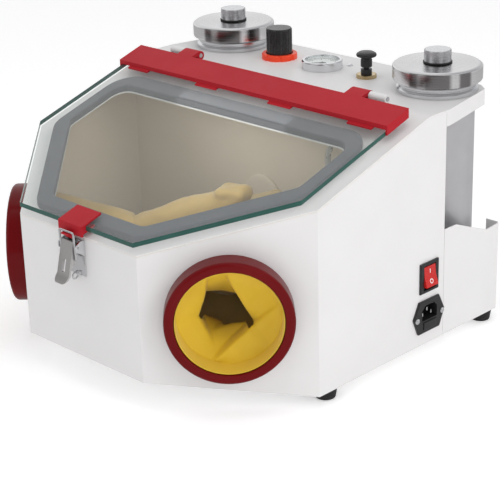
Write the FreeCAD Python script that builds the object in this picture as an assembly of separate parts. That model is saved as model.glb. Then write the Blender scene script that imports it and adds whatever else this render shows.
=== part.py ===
import FreeCAD, Part
import math
import os

os.makedirs("parts", exist_ok=True)

# A benchtop sandblast cabinet with two abrasive tanks. All sizes are in millimetres.
# It is drawn with y = 0 on the front panel, z = 0 on the lower edge of the side walls and
# x = 0 on its plane of symmetry; save() then sets it on the bench with its origin under its middle.

# Driving dimensions of the casing
half_width = 206.0
front_half_width = 88.5        # half the narrow front panel
corner_depth = 124.0           # where an angled face meets its side wall
side_depth = 316.0             # where a side wall ends and the tank bay begins
rear_depth = 412.0
front_height = 155.4           # top edge of the front panel
front_rise = 22.5              # the front's lower edge stands this much above the side walls'
deck_height = 246.5
window_slope = 0.315           # rise of the window plane for each millimetre back
sheet = 1.5
foot_height = 12.0
depth_centre = 199.0           # depth of the middle of the whole object
chamber_depth = 262.0          # rear wall of the blasting chamber
bay_half_gap = 106.0           # the tank bays start this far from the middle
skirt_height = 17.0            # turned-down edge of the deck round the bays

# Driving dimensions of the fittings
tank_x = 150.4
tank_y = 370.5
tank_radius = 39.5
cap_radius = 47.0
ring_radius = 62.7             # arm ring, outside
ring_bore = 53.0
ring_reach = 23.0              # how far an arm ring stands out of its face
ring_height = 91.0
glass_low = 8.0                # glass above the window frame, measured upright
glass_high = 13.0
hinge_y = 281.0
hinge_z = 257.0
controls_y = 358.0             # regulator, gauge and valve stand in one row
regulator_x = -65.0
valve_x = 64.0
switch_y = 290.5
rocker_height = 75.4
inlet_height = 33.0
running = 0.05                 # radial clearance of a shaft in its hole
gap = 0.3                      # clearance between bodies that move past each other

face_angle = math.atan2(corner_depth, half_width - front_half_width)
face_sin = math.sin(face_angle)
face_cos = math.cos(face_angle)
face_length = math.hypot(corner_depth, half_width - front_half_width)
X_AXIS = FreeCAD.Vector(1, 0, 0)
Y_AXIS = FreeCAD.Vector(0, 1, 0)
Z_AXIS = FreeCAD.Vector(0, 0, 1)
V = FreeCAD.Vector


def save(node, *solids):
    """Writes one node's solids in the part's own frame."""
    shape = solids[0] if len(solids) == 1 else Part.makeCompound(list(solids))
    shape = shape.copy()
    shape.translate(V(0, -depth_centre, foot_height))
    shape.exportStep("parts/" + node + ".step")


def block(x0, x1, y0, y1, z0, z1):
    return Part.makeBox(x1 - x0, y1 - y0, z1 - z0, V(x0, y0, z0))


def rod(radius, start, length, axis=Z_AXIS):
    return Part.makeCylinder(radius, length, start, axis)


def pipe(outer, inner, start, length, axis=Z_AXIS):
    return rod(outer, start, length, axis).cut(rod(inner, start - axis, length + 2, axis))


def prism(points, sweep):
    return Part.Face(Part.makePolygon(points + points[:1])).extrude(sweep)


def upright(outline, z0, z1):
    """A prism on an outline of (x, y) points."""
    return prism([V(x, y, z0) for x, y in outline], V(0, 0, z1 - z0))


def crosswise(profile, x0, x1):
    """A prism across the cabinet on a profile of (y, z) points."""
    return prism([V(x0, y, z) for y, z in profile], V(x1 - x0, 0, 0))


def turned(profile, centre, axis=Z_AXIS):
    """A solid of revolution on a profile of (radius, height) points."""
    face = Part.Face(Part.makePolygon([V(r, 0, h) for r, h in profile + profile[:1]]))
    solid = face.revolve(V(0, 0, 0), Z_AXIS, 360)
    solid.Placement = FreeCAD.Placement(centre, FreeCAD.Rotation(Z_AXIS, axis))
    return solid


def mirrored(shape):
    return shape.mirror(V(0, 0, 0), X_AXIS)


def upright_edges(shape, low, high):
    """The edges along Z whose distance from x = 0 lies between two limits."""
    chosen = []
    for edge in shape.Edges:
        ends = [vertex.Point for vertex in edge.Vertexes]
        if len(ends) == 2 and math.hypot(ends[0].x - ends[1].x, ends[0].y - ends[1].y) < 1e-6:
            if low <= abs(ends[0].x) <= high:
                chosen.append(edge)
    return chosen


def hexagon(front, angled, side, rear):
    """Plan outline set in from the front, the angled faces and the sides, and ending at a rear depth."""
    front_x = front_half_width + (front * face_cos - angled) / face_sin
    side_x = half_width - side
    side_y = ((side_x - front_half_width) * face_sin + angled) / face_cos
    right = [(front_x, front), (side_x, side_y), (side_x, rear)]
    return right + [(-x, y) for x, y in reversed(right)]


def window_z(y):
    return front_height + window_slope * y


def slope_slab(low, high, y0, y1):
    """The space between two planes parallel to the window."""
    profile = [(y0, window_z(y0) + low), (y1, window_z(y1) + low)]
    profile += [(y1, window_z(y1) + high), (y0, window_z(y0) + high)]
    return crosswise(profile, -half_width - 20, half_width + 20)


def bent_tube(points, radius, bend):
    """A round tube of straight runs joined by arcs of one bend radius."""
    edges = []
    start = points[0]
    for before, corner, after in zip(points, points[1:], points[2:]):
        into = (before - corner).normalize()
        out = (after - corner).normalize()
        half_turn = into.getAngle(out) / 2
        cut = bend / math.tan(half_turn)
        middle = corner + (into + out).normalize() * (bend / math.sin(half_turn) - bend)
        first = corner + into * cut
        last = corner + out * cut
        edges.append(Part.LineSegment(start, first).toShape())
        edges.append(Part.Arc(first, middle, last).toShape())
        start = last
    edges.append(Part.LineSegment(start, points[-1]).toShape())
    section = Part.Wire(Part.Circle(points[0], points[1] - points[0], radius).toShape())
    return Part.Wire(edges).makePipeShell([section], True, False)


# Casing: one silhouette, seen from the side, cuts the walls above the floor and below the top sheet
bend_depth = (deck_height - front_height) / window_slope
top_sheet = sheet * math.hypot(1, window_slope)
silhouette = crosswise([(-30, front_rise * (1 + 30 / corner_depth)), (corner_depth, 0),
                        (rear_depth + 30, 0), (rear_depth + 30, deck_height - sheet),
                        (bend_depth, deck_height - sheet), (-30, window_z(-30) - top_sheet)],
                       -half_width - 20, half_width + 20)


def face_point(side, along, out, height):
    """A point on an angled face: along it from the front corner, out of it, and up."""
    x = front_half_width + along * face_cos + out * face_sin
    return V(side * x, along * face_sin - out * face_cos, height)


def face_normal(side):
    return V(side * face_sin, -face_cos, 0)


outer_walls = upright(hexagon(0, 0, 0, side_depth), -5, 300)
outer_walls = outer_walls.makeFillet(2.2, upright_edges(outer_walls, 10, half_width - 1))
inner_walls = upright(hexagon(sheet, sheet, sheet, side_depth + 5), -10, 310)
front_shell = outer_walls.cut(inner_walls).common(silhouette)
arm_hole = ring_bore + 3.5
for side in (-1, 1):
    centre = face_point(side, face_length / 2, -20, ring_height)
    front_shell = front_shell.cut(rod(arm_hole, centre, 40, face_normal(side)))
rocker_cut = (switch_y - 11.5, switch_y + 11.5, rocker_height - 14.5, rocker_height + 14.5)
inlet_cut = (switch_y - 14, switch_y + 14, inlet_height - 16.5, inlet_height + 14.5)
for y0, y1, z0, z1 in (rocker_cut, inlet_cut):
    front_shell = front_shell.cut(block(half_width - 5, half_width + 5, y0, y1, z0, z1))

# Window frame: the sloped part of the top sheet, with the window opening cut in it
window_front = 28.5
window_angled = 34.5
window_side = 35.5
window_rear = 213.0
frame_rear = 258.0


def rounded_window(front, angled, side, rear, corner, rear_corner):
    solid = upright(hexagon(front, angled, side, rear), 100, 300)
    front_edges = [e for e in upright_edges(solid, 1, 300) if e.BoundBox.YMax < rear - 1]
    solid = solid.makeFillet(corner, front_edges)
    rear_edges = [e for e in upright_edges(solid, 1, 300) if e.BoundBox.YMin > rear - 1]
    return solid.makeFillet(rear_corner, rear_edges)


window_hole = rounded_window(window_front, window_angled, window_side, window_rear, 12, 17)
window_frame = outer_walls.common(slope_slab(-top_sheet, 0, -5, frame_rear))
window_frame = window_frame.cut(window_hole)
save("window_frame", window_frame)

# Gasket: a foam strip stuck round the opening, under the glass
gasket_outer = rounded_window(12.5, 16.5, 21.0, 232.0, 26, 32)
gasket = gasket_outer.cut(window_hole).common(slope_slab(0, glass_low - gap, -5, 300))
save("window_gasket", gasket)

# Deck: the top sheet bends level behind the window and turns down round the tank bays
bay_corner = [(side_depth + 6, half_width), (402, 188.5), (rear_depth, 176)]
deck_outline = [(half_width, frame_rear)] + [(x, y) for y, x in bay_corner]
deck_outline += [(-x, y) for x, y in reversed(deck_outline)]
skirt_inside = [(half_width - sheet, side_depth), (half_width - sheet, side_depth + 5),
                (187, 401), (175.2, rear_depth - sheet)]
skirt_inside += [(-x, y) for x, y in reversed(skirt_inside)]
bend_profile = [(frame_rear, window_z(frame_rear) - top_sheet), (bend_depth, deck_height - sheet),
                (rear_depth + 5, deck_height - sheet), (rear_depth + 5, deck_height),
                (bend_depth, deck_height), (frame_rear, window_z(frame_rear))]
bend_slab = crosswise(bend_profile, -half_width - 5, half_width + 5)
bend_edges = [e for e in bend_slab.Edges
              if e.BoundBox.XLength > 100 and abs(e.BoundBox.Center.y - bend_depth) < 2]
bend_slab = bend_slab.makeFillet(45, bend_edges)
deck = upright(deck_outline, 150, 300).common(bend_slab)
skirt = upright(deck_outline, deck_height - skirt_height, deck_height - sheet)
skirt = skirt.cut(upright(skirt_inside, 200, 300))
skirt = skirt.cut(block(-300, 300, 0, side_depth + 0.2, 200, 300))
deck = deck.fuse(skirt).removeSplitter()
neck_radius = 40.5
regulator_bore = 15.5
gauge_bore = 20.4
valve_bore = 6.2
screw_bore = 2.2
deck_screw_x = 18.0
deck_screw_y = 383.0
deck_holes = [(tank_x, tank_y, neck_radius + 0.2), (-tank_x, tank_y, neck_radius + 0.2),
              (regulator_x, controls_y, regulator_bore), (0, controls_y, gauge_bore),
              (valve_x, controls_y, valve_bore)]
deck_holes += [(side * deck_screw_x, deck_screw_y, screw_bore) for side in (-1, 1)]
for x, y, radius in deck_holes:
    deck = deck.cut(rod(radius, V(x, y, 200), 60))
save("deck", deck)
save("front_shell", front_shell.cut(window_frame).cut(deck))

# Floor pan: level under the side walls, and rising to the front edge
pan_profile = [(sheet, front_rise * (1 - sheet / corner_depth)), (corner_depth, 0), (rear_depth - sheet, 0),
               (rear_depth - sheet, sheet), (corner_depth, sheet),
               (sheet, front_rise * (1 - sheet / corner_depth) + sheet)]
pan_strip = crosswise(pan_profile, -half_width, half_width)
pan_plan = upright(hexagon(sheet, sheet, sheet, side_depth - sheet), -5, 40)
pan_plan = pan_plan.fuse(block(-bay_half_gap + sheet, bay_half_gap - sheet, 300, rear_depth - sheet, -5, 40))
save("floor_pan", pan_plan.common(pan_strip).removeSplitter())

# Chamber rear wall, with the exhaust duct's hole and the two hose holes
duct_height = 120.0
duct_radius = 25.0
duct_bore = 22.5
hose_radius = 3.0
pen_places = [(110.0, 245.0), (tank_x, 245.0)]
hose_turn_height = 212.0
chamber_wall = block(-half_width + sheet, half_width - sheet, chamber_depth, chamber_depth + sheet,
                     sheet, window_z(chamber_depth) - top_sheet - 0.1)
chamber_wall = chamber_wall.cut(rod(duct_radius + 0.1, V(0, 200, duct_height), 100, Y_AXIS))
for x, y in pen_places:
    chamber_wall = chamber_wall.cut(rod(hose_radius + 0.2, V(x, 200, hose_turn_height), 100, Y_AXIS))
save("chamber_wall", chamber_wall)

# Bay walls: an angle of sheet that closes the cabinet in front of and beside each tank
tank_hose_height = 14.0
bay_top = deck_height - sheet - 0.05
bay_wall = block(bay_half_gap, half_width - sheet, side_depth - sheet, side_depth, sheet, bay_top)
bay_wall = bay_wall.fuse(block(bay_half_gap - sheet, bay_half_gap, side_depth - sheet,
                               rear_depth - sheet, sheet, bay_top)).removeSplitter()
bay_wall = bay_wall.cut(rod(hose_radius + 0.2, V(tank_x, 300, tank_hose_height), 30, Y_AXIS))
save("bay_walls", bay_wall, mirrored(bay_wall))

# Tank brackets: a folded tray under each tank, with a sloped top edge and a turned-in rear edge
bracket_front = side_depth + 0.4
bracket_rear = rear_depth - 2
cheek_profile = [(bracket_front, 0), (bracket_rear, 0), (bracket_rear, 99.5), (389, 98), (368, 106),
                 (336, 119), (bracket_front, 119)]
bracket = crosswise(cheek_profile, half_width - sheet, half_width)
bracket = bracket.fuse(block(bay_half_gap + 0.2, half_width, bracket_front, bracket_rear, 0, sheet))
bracket = bracket.fuse(block(half_width - 16, half_width, bracket_rear - sheet, bracket_rear, 0, 101))
bracket = bracket.removeSplitter()
save("tank_bracket_right", bracket)
save("tank_bracket_left", mirrored(bracket))

# Rear panel, with holes for the exhaust duct and three push-in air fittings
fitting_xs = (-66.0, -40.0, -14.0)
fitting_height = 48.0
rear_panel = block(-bay_half_gap, bay_half_gap, rear_depth - sheet, rear_depth,
                   0, deck_height - skirt_height - 0.2)
rear_panel = rear_panel.cut(rod(duct_radius + 0.1, V(0, 380, duct_height), 60, Y_AXIS))
for x in fitting_xs:
    rear_panel = rear_panel.cut(rod(5.1, V(x, 380, fitting_height), 60, Y_AXIS))
rear_screws = [(side * 96.0, z) for side in (-1, 1) for z in (20.0, 200.0)]
for x, z in rear_screws:
    rear_panel = rear_panel.cut(rod(screw_bore, V(x, 380, z), 60, Y_AXIS))
save("rear_panel", rear_panel)

# Exhaust duct, from the chamber to a hose spigot behind the cabinet
duct_start = chamber_depth - 3
duct_end = rear_depth + 13
spigot_radius = 24.2
exhaust_duct = rod(duct_radius, V(0, duct_start, duct_height), rear_depth - duct_start, Y_AXIS)
spigot = rod(spigot_radius, V(0, rear_depth, duct_height), duct_end - rear_depth, Y_AXIS)
exhaust_duct = exhaust_duct.fuse(spigot).cut(rod(duct_bore, V(0, 200, duct_height), 300, Y_AXIS))
save("exhaust_duct", exhaust_duct.removeSplitter())

# Push-in air fittings: a hexagon, a round collar and a stem through the rear panel
fittings = []
for x in fitting_xs:
    hexagon_points = [V(x + 8 * math.cos(k * math.pi / 3), rear_depth,
                        fitting_height + 8 * math.sin(k * math.pi / 3)) for k in range(6)]
    fitting = prism(hexagon_points, V(0, 5, 0))
    fitting = fitting.fuse(rod(6.5, V(x, rear_depth + 5, fitting_height), 7, Y_AXIS))
    fitting = fitting.fuse(rod(5, V(x, rear_depth - 8, fitting_height), 8, Y_AXIS))
    fitting = fitting.cut(rod(hose_radius + 0.05, V(x, rear_depth - 10, fitting_height), 30, Y_AXIS))
    fittings.append(fitting.removeSplitter())
save("air_fittings", *fittings)

# Screws: pan heads on the deck and on the rear panel
def pan_screw(place, outward, length):
    shank = rod(screw_bore - running, place - outward * length, length, outward)
    head = Part.makeSphere(5.2, V(0, 0, 0)).common(block(-6, 6, -6, 6, 3.2, 6))
    head.translate(V(0, 0, -3.2))
    head.Placement = FreeCAD.Placement(place, FreeCAD.Rotation(Z_AXIS, outward)).multiply(head.Placement)
    return shank.fuse(head).removeSplitter()


screws = [pan_screw(V(side * deck_screw_x, deck_screw_y, deck_height), Z_AXIS, 8) for side in (-1, 1)]
screws += [pan_screw(V(x, rear_depth, z), Y_AXIS, 8) for x, z in rear_screws]

# Feet: tapered rubber, two under the floor pan and two under the tank brackets
foot_places = [(side * x, y) for side in (-1, 1) for x, y in ((192.5, 147.0), (193.5, 398.5))]
feet = [turned([(0, -foot_height), (9.6, -foot_height), (10.4, -foot_height + 1), (12.2, 0), (0, 0)],
               V(x, y, 0)) for x, y in foot_places]
save("feet", *feet)

# Perforated tray over the floor pan
tray_height = 21.0
tray = upright(hexagon(20, 22, 4, chamber_depth - 4), tray_height, tray_height + 1.2)
slots = []
for row in range(9):
    slot_y = 46 + 24 * row
    for column in range(-7, 8):
        slot_x = 24 * column
        if abs(slot_x) + 12 < min(182, front_half_width + slot_y * face_cos / face_sin - 34):
            slots.append(block(slot_x - 8, slot_x + 8, slot_y - 3, slot_y + 3, 0, 60))
tray = tray.cut(Part.makeCompound(slots))
legs = [block(side * 150 - 4, side * 150 + 4, y - 4, y + 4, sheet, tray_height)
        for side in (-1, 1) for y in (132, 240)]
for leg in legs:
    tray = tray.fuse(leg)
save("floor_tray", tray.removeSplitter())

# Arm rings: a rounded collar on each angled face, with a spigot for the glove inside
ring_profile = [(ring_bore, ring_reach - 1), (ring_bore + 1, ring_reach), (ring_radius - 3, ring_reach),
                (ring_radius - 0.9, ring_reach - 0.9), (ring_radius, ring_reach - 3), (ring_radius, 0),
                (arm_hole - 0.2, 0), (arm_hole - 0.2, -16), (ring_bore, -16)]
band_profile = [(arm_hole, -14), (arm_hole + 1.4, -14), (arm_hole + 1.4, -6), (arm_hole, -6)]
bands = []
for side, name in ((-1, "left"), (1, "right")):
    centre = face_point(side, face_length / 2, 0, ring_height)
    save("arm_ring_" + name, turned(ring_profile, centre, face_normal(side)))
    bands.append(turned(band_profile, centre, face_normal(side)))
save("sleeve_bands", *bands)

# Gloves: a hollow rubber sleeve from the ring's mouth into the chamber, ending in a slack, closed hand
sleeve_wall = 1.6
sleeve_profile = [(ring_bore - 0.3, ring_reach - 2), (ring_bore - 0.3, -20), (50, -60), (44, -92), (30, -112),
                  (0, -116), (0, -114), (29, -110.4), (42.4, -91), (48.4, -60),
                  (ring_bore - 0.3 - sleeve_wall, -20), (ring_bore - 0.3 - sleeve_wall, ring_reach - 2)]
# Centre and radius of the wrist, the palm, the knuckles and the fingertips of each hand
hand_rolls = {"left": [(V(-66, 139, 94), 25), (V(-20, 161, 120), 22), (V(28, 176, 144), 19), (V(47, 184, 157), 14)],
              "right": [(V(70, 134, 93), 25), (V(86, 142, 122), 20), (V(100, 156, 156), 16), (V(111, 165, 171), 12)]}
for side, name in ((-1, "left"), (1, "right")):
    centre = face_point(side, face_length / 2, 0, ring_height)
    glove = turned(sleeve_profile, centre, face_normal(side))
    rolls = hand_rolls[name]
    for place, radius in rolls:
        glove = glove.fuse(Part.makeSphere(radius, place))
    for (start, start_radius), (end, end_radius) in zip(rolls, rolls[1:]):
        along = end - start
        glove = glove.fuse(Part.makeCone(start_radius, end_radius, along.Length, start, along))
    save("glove_" + name, glove.removeSplitter())

# Tanks: tube, polished neck with its sealing ring, and a funnel foot with a hose nipple
tube_foot = 34.0
neck_foot = 238.0
neck_top = 257.2
nipple_start = tank_y - 30
tank_feet = []
tank_necks = []
neck_seals = []
for side, name in ((-1, "left"), (1, "right")):
    save("tank_tube_" + name,
         pipe(tank_radius, tank_radius - 2.5, V(side * tank_x, tank_y, tube_foot), neck_foot - tube_foot))
    neck_profile = [(34, neck_foot), (neck_radius, neck_foot), (neck_radius, deck_height), (43, deck_height),
                    (43, deck_height + 4), (41.5, deck_height + 5), (neck_radius, deck_height + 5.6),
                    (neck_radius, neck_top - 0.6), (neck_radius - 0.6, neck_top), (34, neck_top)]
    tank_necks.append(turned(neck_profile, V(side * tank_x, tank_y, 0)))
    foot_profile = [(0, 6), (9, 6), (9, 20), (tank_radius, tube_foot - 4), (tank_radius, tube_foot),
                    (6, 22), (0, 22)]
    foot = turned(foot_profile, V(side * tank_x, tank_y, 0))
    foot = foot.fuse(rod(4.5, V(side * tank_x, nipple_start, tank_hose_height), 30, Y_AXIS))
    tank_feet.append(foot.removeSplitter())
    seal = Part.makeTorus(37.5, 0.9, V(side * tank_x, tank_y, neck_top + 0.3))
    seal = seal.common(rod(60, V(side * tank_x, tank_y, neck_top), 5))
    neck_seals.append(seal)
save("tank_feet", *tank_feet)
save("tank_necks", *tank_necks)
save("neck_seals", *neck_seals)

# Tank caps, each with a knurled knob on a washer
cap_foot = 258.7
cap_top = 275.4
knob_top = 290.5
knob_radius = 14.2
knob_stud = 4.0
cap_profile = [(knob_stud + running, cap_top), (cap_radius - 4, cap_top), (cap_radius, cap_top - 2.5),
               (cap_radius, cap_foot + 1), (cap_radius - 1, cap_foot), (33, cap_foot), (33, 251), (31, 250),
               (28, 250), (28, 262), (knob_stud + running, 262)]
knob_profile = [(0, 264), (knob_stud, 264), (knob_stud, 277.2), (knob_radius - 1.2, 277.2),
                (knob_radius, 278.2), (knob_radius, knob_top - 1.4), (knob_radius - 1.4, knob_top),
                (0, knob_top)]
for side, name in ((-1, "left"), (1, "right")):
    centre = V(side * tank_x, tank_y, 0)
    save("tank_cap_" + name, turned(cap_profile, centre))
    save("cap_knob_" + name, turned(knob_profile, centre))

# Regulator: body under the deck, coloured panel ring, turning spindle and a fluted knob that pulls up
spindle_radius = 4.5
bush_profile = [(spindle_radius + running, 214), (12, 214), (12, deck_height + 7),
                (spindle_radius + running, deck_height + 7)]
regulator_profile = [(0, 186), (19, 186), (19, 232), (15.2, 236), (15.2, deck_height + 1),
                     (12.2, deck_height + 1), (12.2, 214), (0, 214)]
regulator_centre = V(regulator_x, controls_y, 0)
regulator = turned(regulator_profile, regulator_centre)
regulator = regulator.fuse(turned(bush_profile, regulator_centre))
regulator = regulator.fuse(pipe(12.4, 11.8, V(regulator_x, controls_y, 214.5), deck_height - 214))
ports = block(regulator_x - 26, regulator_x + 26, controls_y - 9, controls_y + 9, 196, 214)
regulator = regulator.fuse(ports)
save("regulator_body", regulator.removeSplitter())
ring_notches = [rod(2.4, V(regulator_x + 21.2 * math.cos(k * math.pi / 4),
                           controls_y + 21.2 * math.sin(k * math.pi / 4), 240), 20) for k in range(8)]
lock_ring = turned([(15.4, deck_height), (20, deck_height), (20, deck_height + 5.4), (19, deck_height + 6.4),
                    (15.4, deck_height + 6.4)], regulator_centre)
save("regulator_ring", lock_ring.cut(Part.makeCompound(ring_notches)))
spindle = rod(spindle_radius, V(regulator_x, controls_y, 216), 274 - 216)
save("regulator_spindle", spindle)
knob_flutes = [rod(0.9, V(regulator_x + 14.9 * math.cos(k * math.pi / 12),
                          controls_y + 14.9 * math.sin(k * math.pi / 12), 255), 40) for k in range(24)]
regulator_knob = turned([(12.5, 251.9), (14.5, 251.9), (14.5, 280), (13.5, 281.4), (0, 281.4), (0, 278),
                         (spindle_radius + running, 278), (spindle_radius + running, 256.5), (12.5, 256.5)],
                        regulator_centre)
save("regulator_knob", regulator_knob.cut(Part.makeCompound(knob_flutes)))

# Pressure gauge: case with a bright bezel, dial, needle and lens
gauge_centre = V(0, controls_y, 0)
gauge_top = deck_height + 9.5
case_profile = [(0, 214), (6, 214), (6, 222), (gauge_bore - 0.2, 222), (gauge_bore - 0.2, deck_height),
                (22.7, deck_height), (22.7, gauge_top - 1.2), (21.5, gauge_top), (19, gauge_top),
                (19, gauge_top - 5.6), (0, gauge_top - 5.6)]
save("gauge_case", turned(case_profile, gauge_centre))
dial = pipe(18.8, 1.6, V(0, controls_y, gauge_top - 5.6), 0.8)
save("gauge_dial", dial)
needle_height = gauge_top - 4.4
needle = rod(1.55, V(0, controls_y, gauge_top - 5.5), 2.1)
needle_outline = [(-1.3, 4), (1.3, 4), (0.35, -14.5), (-0.35, -14.5)]
pointer = prism([V(x, controls_y + y, needle_height) for x, y in needle_outline], V(0, 0, 0.5))
needle = needle.fuse(pointer).removeSplitter()
needle.rotate(gauge_centre, Z_AXIS, -45)
save("gauge_needle", needle)
save("gauge_lens", rod(18.8, V(0, controls_y, gauge_top - 2.6), 1.2))

# Push-pull air valve: body under the deck, brass nut, and a plunger with a mushroom head
valve_centre = V(valve_x, controls_y, 0)
valve_shoulder = deck_height - sheet - 0.1
valve_profile = [(3.05, 206), (9, 206), (9, valve_shoulder), (valve_bore - 0.2, valve_shoulder),
                 (valve_bore - 0.2, 256.2), (3.05, 256.2)]
save("valve_body", turned(valve_profile, valve_centre))
nut = turned([(valve_bore, deck_height), (11, deck_height), (11, 250.6), (10.4, 251.2), (valve_bore, 251.2)],
             valve_centre)
nut_grooves = [rod(0.5, V(valve_x + 11.2 * math.cos(k * math.pi / 15),
                          controls_y + 11.2 * math.sin(k * math.pi / 15), 245), 10) for k in range(30)]
save("valve_nut", nut.cut(Part.makeCompound(nut_grooves)))
plunger_profile = [(0, 212), (3, 212), (3, 258.6), (6.2, 258.6), (6.2, 266), (5.6, 267.4), (7, 268.6),
                   (10.6, 270), (11, 271.4), (10.6, 273), (8, 274.6), (0, 275.2)]
save("valve_plunger", turned(plunger_profile, valve_centre))

# Rocker switch in the right side wall
rocker_pivot = V(half_width - 3.0, switch_y, rocker_height)
bezel = block(half_width, half_width + 2.4, switch_y - 14.6, switch_y + 14.6,
              rocker_height - 16.6, rocker_height + 16.6)
bezel = bezel.makeFillet(1.0, [e for e in bezel.Edges if e.BoundBox.XMin > half_width + 2.3])
bezel = bezel.fuse(block(half_width - 19, half_width, switch_y - 11.3, switch_y + 11.3,
                         rocker_height - 14.3, rocker_height + 14.3))
bezel = bezel.cut(block(half_width - 15, half_width + 5, switch_y - 9.6, switch_y + 9.6,
                        rocker_height - 13.6, rocker_height + 13.6))
pin_half = 10.4
rocker_pin = 1.6
pin_hole_half = pin_half + gap
bezel = bezel.cut(rod(rocker_pin + running, rocker_pivot - Y_AXIS * pin_hole_half, 2 * pin_hole_half, Y_AXIS))
save("rocker_frame", bezel.removeSplitter())
rocker_half = 11.0
rocker_profile = [(-3, -9), (5, -rocker_half), (7.2, -rocker_half), (5.8, 0), (7.2, rocker_half),
                  (5, rocker_half), (-3, 9)]
rocker = prism([rocker_pivot + V(x, -9.2, z) for x, z in rocker_profile], V(0, 18.4, 0))
rocker = rocker.fuse(rod(rocker_pin, rocker_pivot - Y_AXIS * pin_half, 2 * pin_half, Y_AXIS))
rocker_tilt = 12.0                # the upper half is pressed in
rocker.rotate(rocker_pivot, Y_AXIS, -rocker_tilt)
save("rocker", rocker)

# Mains inlet with a fuse drawer, held by two screws
flange_front = half_width + 2.6
inlet_outline = [(-25, 0), (-16, 17.5), (16, 17.5), (25, 0), (17, -18.5), (-17, -18.5)]
inlet = prism([V(half_width, switch_y + y, inlet_height + z) for y, z in inlet_outline],
              V(flange_front - half_width, 0, 0))
inlet = inlet.makeFillet(1.0, [e for e in inlet.Edges if e.BoundBox.XMin > flange_front - 0.1])
inlet = inlet.fuse(block(half_width - 25, half_width + 1, switch_y - 13.8, switch_y + 13.8,
                         inlet_height - 16.3, inlet_height + 14.3))
socket_outline = [(-12, -4.5), (-12, 7), (-7, 12), (7, 12), (12, 7), (12, -4.5)]
socket = prism([V(half_width - 13, switch_y + y, inlet_height + z) for y, z in socket_outline], V(20, 0, 0))
drawer_cut = block(half_width - 18, half_width + 5, switch_y - 10.2, switch_y + 10.2,
                   inlet_height - 15.2, inlet_height - 6.2)
pin_places = [(-7, 0.5), (7, 0.5), (0, 5.5)]
pin_holes = [block(half_width - 30, half_width, switch_y + y - 1.0, switch_y + y + 1.0,
                   inlet_height + z - 2.0, inlet_height + z + 2.0) for y, z in pin_places]
inlet_screw_places = [switch_y - 20, switch_y + 20]
inlet = inlet.cut(socket).cut(drawer_cut).cut(Part.makeCompound(pin_holes))
for y in inlet_screw_places:
    inlet = inlet.cut(rod(1.7, V(half_width - 1, y, inlet_height - 1.5), 10, X_AXIS))
save("mains_inlet", inlet.removeSplitter())
pins = [block(half_width - 30, half_width - 1, switch_y + y - 0.95, switch_y + y + 0.95,
              inlet_height + z - 1.95, inlet_height + z + 1.95) for y, z in pin_places]
save("inlet_pins", *pins)
inlet_screws = []
inlet_screw_profile = [(0, -2.5), (1.6, -2.5), (1.6, 0), (3.2, 0), (3.0, 1.0), (1.8, 1.6), (0, 1.8)]
for y in inlet_screw_places:
    inlet_screws.append(turned(inlet_screw_profile, V(flange_front, y, inlet_height - 1.5), X_AXIS))
save("panel_screws", *screws, *inlet_screws)
drawer = block(half_width - 16, half_width + 3.6, switch_y - 9.8, switch_y + 9.8,
               inlet_height - 14.8, inlet_height - 6.6)
save("fuse_drawer", drawer)

# Lamp over the window's rear edge, inside the chamber, and its power supply behind the rear wall
lamp = block(-80, 80, 238, 257, 214, 226).cut(block(-77, 77, 240.5, 254.5, 205, 220))
save("lamp_housing", lamp)
save("lamp_lens", block(-76.8, 76.8, 240.7, 254.3, 214.4, 217.4))
save("power_supply", block(40, 112, 268, 304, sheet, 32))

# Blast pens hanging in spring clips, nozzle down, and their hoses back to the tank feet
pen_low = 96.0
pen_profile = [(0.8, -12), (1.8, -12), (2.6, 0), (3.6, 2), (5.4, 16), (5.4, 74), (4.4, 80), (4.4, 88),
               (0, 88), (0, 2), (0.8, 0)]
save("blast_pens", *[turned(pen_profile, V(x, y, pen_low)) for x, y in pen_places])
clips = []
for x, y in pen_places:
    clip = pipe(7.0, 5.6, V(x, y, 140), 10).cut(block(x - 4, x + 4, y - 12, y, 130, 160))
    clip = clip.fuse(block(x - 3, x + 3, y + 5.8, chamber_depth, 140, 150)).removeSplitter()
    clips.append(clip)
save("pen_clips", *clips)
hose_bend = 19.0
hose_y = 288.0
pen_hose_start = pen_low + 88
right_hose = [V(tank_x, 245, pen_hose_start), V(tank_x, 245, hose_turn_height),
              V(tank_x, hose_y, hose_turn_height), V(tank_x, hose_y, tank_hose_height),
              V(tank_x, nipple_start, tank_hose_height)]
left_hose = [V(110, 245, pen_hose_start), V(110, 245, hose_turn_height), V(110, hose_y, hose_turn_height),
             V(-tank_x, hose_y, hose_turn_height), V(-tank_x, hose_y, tank_hose_height),
             V(-tank_x, nipple_start, tank_hose_height)]
save("pen_hoses", *[bent_tube(path, hose_radius, hose_bend) for path in (right_hose, left_hose)])

# Lid hinges: a barrel welded on the deck and a fixed pin that carries the lid's knuckle
pin_radius = 2.4
barrel_radius = 4.4
knuckle_x = 112.0
knuckle_end = 136.0
barrel_end = 158.0
barrels = []
hinge_pins = []
for side in (-1, 1):
    low = min(side * (knuckle_end + gap), side * barrel_end)
    length = barrel_end - knuckle_end - gap
    barrel = rod(barrel_radius, V(low, hinge_y, hinge_z), length, X_AXIS)
    barrel = barrel.fuse(block(low + 4, low + length - 4, hinge_y - 2.5, hinge_y + 2.5,
                               window_z(hinge_y) - 1, hinge_z - 2)).cut(deck)
    barrel = barrel.cut(rod(pin_radius, V(low - 1, hinge_y, hinge_z), length + 2, X_AXIS))
    barrels.append(barrel.removeSplitter())
    start = min(side * knuckle_x, side * (barrel_end + 0.8))
    hinge_pins.append(rod(pin_radius, V(start, hinge_y, hinge_z), barrel_end + 0.8 - knuckle_x, X_AXIS))
save("hinge_barrels", *barrels)
save("hinge_pins", *hinge_pins)

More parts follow.
